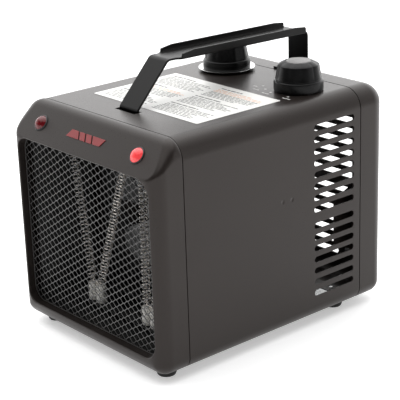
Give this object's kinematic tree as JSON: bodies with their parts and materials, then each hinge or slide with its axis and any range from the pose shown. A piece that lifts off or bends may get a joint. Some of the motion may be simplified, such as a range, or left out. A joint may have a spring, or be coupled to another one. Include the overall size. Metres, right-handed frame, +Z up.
{
  "type": "portable fan heater",
  "caption": "Box-shaped portable electric space heater: sheet-metal case, open coils on ceramic bushings behind a mesh grille, internal fan, two top knobs, two red lamps and a strap handle.",
  "frame": {"origin": "centre of the bounding box at the level of the feet", "axes": "-Y is the front with the grille, +X is the right side seen from the front, +Z is up"},
  "size_m": [0.2, 0.2709, 0.2512],
  "materials": {
    "case_paint": "satin powder coat, near black",
    "mesh_paint": "satin black paint on expanded metal",
    "handle_paint": "semi-gloss black powder coat",
    "knob_plastic": "semi-gloss moulded black",
    "knob_cap": "satin",
    "dial_ring": "polished",
    "rubber_black": "matte",
    "black_plastic": "matte",
    "grey_plastic": "matte",
    "bakelite": "matte phenolic",
    "label_film": "printed film",
    "badge_red": "glossy",
    "lamp_red_dark": "clear red lens, unlit",
    "lamp_red_lit": "clear red lens, lit",
    "zinc_steel": "zinc plated",
    "duct_steel": "heat-darkened aluminised sheet",
    "lamination": "blued electrical steel",
    "winding": "enamelled copper wire, taped",
    "bearing_bronze": "sintered bronze",
    "fan_alu": "mill finish",
    "ceramic_white": "unglazed steatite",
    "heating_wire": "oxidised resistance wire",
    "wire_red": "silicone insulation",
    "wire_white": "silicone insulation"
  },
  "bodies": {
    "case": {"front_bezel": "case_paint", "case_wrap": "case_paint", "rear_cover": "case_paint", "base_plate": "zinc_steel", "grille_mesh": "mesh_paint", "front_badge": "badge_red", "info_label": "label_film", "handle": "handle_paint", "handle_screws": "zinc_steel", "cover_screws": "zinc_steel", "power_lamp_lens": "lamp_red_dark", "heat_lamp_lens": "lamp_red_lit", "lamp_housings": "black_plastic", "thermostat_dial_ring": "dial_ring", "thermostat_body": "bakelite", "thermostat_nut": "zinc_steel", "selector_switch": "black_plastic", "selector_nut": "zinc_steel", "element_frame": "duct_steel", "element_bars": "duct_steel", "coil_insulators": "ceramic_white", "low_heat_coil": "heating_wire", "high_heat_coil": "heating_wire", "coil_terminals": "zinc_steel", "limit_thermostat": "bakelite", "thermal_fuse": "ceramic_white", "fan_bulkhead": "duct_steel", "motor_mount": "zinc_steel", "motor_stator": "lamination", "motor_coil": "winding", "motor_end_brackets": "zinc_steel", "motor_bearings": "bearing_bronze", "tip_over_switch": "black_plastic", "terminal_block": "grey_plastic", "live_lead": "wire_red", "neutral_lead": "wire_white", "motor_leads": "wire_white", "cord_inlet_bushing": "rubber_black", "rubber_feet": "rubber_black", "foot_screws": "zinc_steel"},
    "thermostat_control": {"thermostat_knob": "knob_plastic", "thermostat_knob_cap": "knob_cap", "thermostat_shaft": "zinc_steel"},
    "selector_control": {"selector_knob": "knob_plastic", "selector_knob_cap": "knob_cap", "selector_shaft": "zinc_steel"},
    "fan": {"fan_blade": "fan_alu", "fan_clip": "zinc_steel", "motor_shaft": "zinc_steel", "motor_rotor": "lamination"},
    "tip_pendulum": {"tip_over_pendulum": "zinc_steel"}
  },
  "joints": [
    {"name": "thermostat_turn", "type": "hinge", "parent": "case", "child": "thermostat_control", "pos_m": [-0.043, 0.071, 0.207], "axis": [0, 0, 1], "range_deg": [-270, 0]},
    {"name": "selector_turn", "type": "hinge", "parent": "case", "child": "selector_control", "pos_m": [0.059, 0.064, 0.207], "axis": [0, 0, 1], "range_deg": [-90, 0]},
    {"name": "fan_spin", "type": "hinge", "parent": "case", "child": "fan", "pos_m": [0, -0.0495, 0.107], "axis": [0, -1, 0], "continuous": true},
    {"name": "tip_swing", "type": "hinge", "parent": "case", "child": "tip_pendulum", "pos_m": [-0.058, 0.0615, 0.049], "axis": [1, 0, 0], "range_deg": [-30, 30]}
  ]
}
